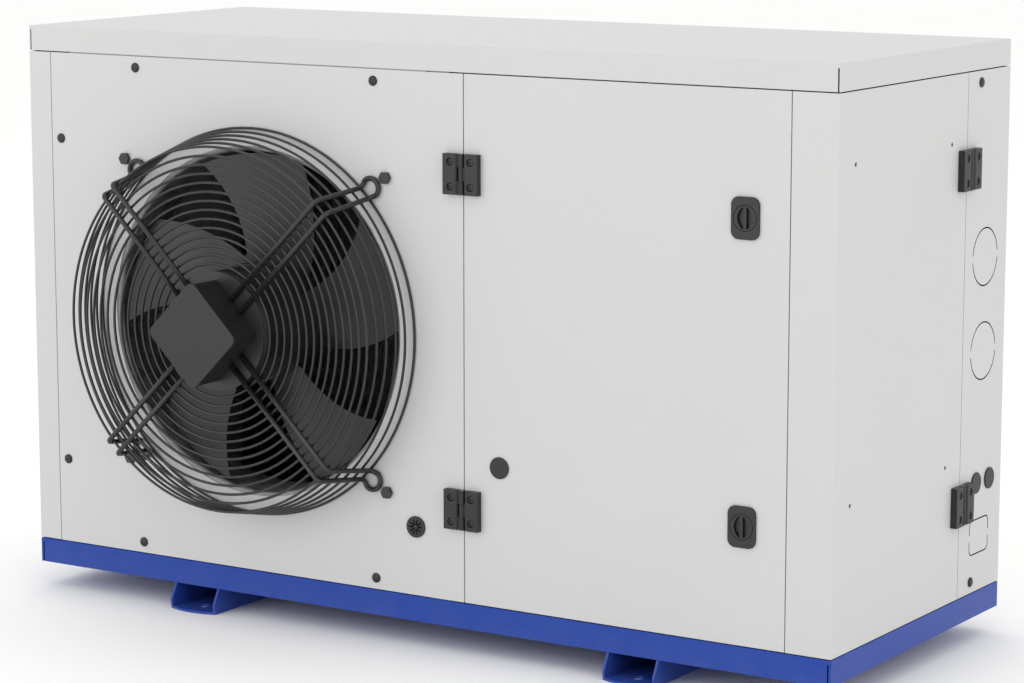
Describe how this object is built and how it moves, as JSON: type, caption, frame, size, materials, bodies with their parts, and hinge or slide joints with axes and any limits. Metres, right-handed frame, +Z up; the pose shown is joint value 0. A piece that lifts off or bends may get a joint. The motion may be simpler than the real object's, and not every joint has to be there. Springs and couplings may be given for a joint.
{
  "type": "packaged air-cooled condensing unit",
  "caption": "Box-shaped outdoor refrigeration condensing unit with a guarded front fan, hinged front and side doors and floor rails.",
  "frame": {"origin": "on the floor, midway between the four foot holes", "axes": "+X to the right seen from the fan side, +Y to the back, +Z up"},
  "size_m": [1.108, 0.565, 0.697],
  "materials": {
    "white_paint": "satin powder coat, white",
    "blue_paint": "satin powder coat, blue",
    "galvanised_sheet": "galvanised sheet",
    "coil_aluminium": "bare aluminium fins",
    "copper": "copper tube, reddish",
    "black_wire": "black coated wire",
    "black_fan_paint": "black paint, satin",
    "black_plastic": "matt black plastic",
    "zinc_steel": "zinc plated steel",
    "brass": "plain brass",
    "black_rubber": "black rubber",
    "grey_plastic": "grey plastic"
  },
  "bodies": {
    "cabinet": {"base_pan": "blue_paint", "foot_rail_left": "blue_paint", "foot_rail_right": "blue_paint", "left_side_panel": "white_paint", "fan_panel": "white_paint", "rear_post_panel": "white_paint", "rear_panel": "white_paint", "lid": "white_paint", "bulkhead": "galvanised_sheet", "front_post": "galvanised_sheet", "fan_head_rail": "galvanised_sheet", "door_head_rail": "galvanised_sheet", "coil_end_plates": "galvanised_sheet", "coil_fins": "coil_aluminium", "coil_return_bends": "copper", "fan_nozzle": "galvanised_sheet", "fan_bolts": "black_fan_paint", "guard_rings": "black_wire", "guard_arms": "black_wire", "guard_centre_plate": "black_wire", "motor_box": "black_plastic", "motor_box_cover": "black_plastic", "motor_stator": "black_fan_paint", "compressor_shell": "black_fan_paint", "compressor_base": "black_fan_paint", "compressor_grommets": "black_rubber", "compressor_studs": "zinc_steel", "compressor_terminal_cover": "black_plastic", "liquid_receiver": "black_fan_paint", "valve_bracket": "galvanised_sheet", "service_valves": "brass", "refrigerant_pipes": "copper", "control_plate": "galvanised_sheet", "contactor": "black_plastic", "terminal_strip": "grey_plastic", "fan_capacitor": "zinc_steel", "screw_caps": "black_plastic", "side_plugs": "black_plastic", "vent_insert": "black_plastic", "fixed_hinge_leaves": "black_plastic", "hinge_pins": "zinc_steel", "fixed_hinge_screws": "zinc_steel"},
    "fan": {"fan_rotor": "black_fan_paint", "fan_blades": "black_fan_paint"},
    "front_door": {"door_panel": "white_paint", "door_seal": "black_rubber", "door_hinge_leaves": "black_plastic", "door_hinge_screws": "zinc_steel", "door_plug": "black_plastic", "latch_housing_upper": "black_plastic", "latch_housing_lower": "black_plastic"},
    "side_door": {"side_door_panel": "white_paint", "side_door_hinge_leaves": "black_plastic", "side_door_hinge_screws": "zinc_steel"},
    "latch_upper": {"latch_grip_upper": "black_plastic", "latch_cam_upper": "zinc_steel"},
    "latch_lower": {"latch_grip_lower": "black_plastic", "latch_cam_lower": "zinc_steel"}
  },
  "joints": [
    {"name": "fan_spin", "type": "hinge", "parent": "cabinet", "child": "fan", "pos_m": [-0.213, -0.2, 0.3605], "axis": [0, 1, 0], "continuous": true},
    {"name": "front_door_hinge", "type": "hinge", "parent": "cabinet", "child": "front_door", "pos_m": [0.082, -0.2192, 0.3635], "axis": [0, 0, -1], "range_deg": [0, 105]},
    {"name": "side_door_hinge", "type": "hinge", "parent": "cabinet", "child": "side_door", "pos_m": [0.5542, 0.102, 0.3635], "axis": [0, 0, 1], "range_deg": [0, 105]},
    {"name": "latch_upper_turn", "type": "hinge", "parent": "front_door", "child": "latch_upper", "pos_m": [0.441, -0.215, 0.5285], "axis": [0, 1, 0], "range_deg": [0, 90]},
    {"name": "latch_lower_turn", "type": "hinge", "parent": "front_door", "child": "latch_lower", "pos_m": [0.441, -0.215, 0.1935], "axis": [0, 1, 0], "range_deg": [0, 90]}
  ]
}
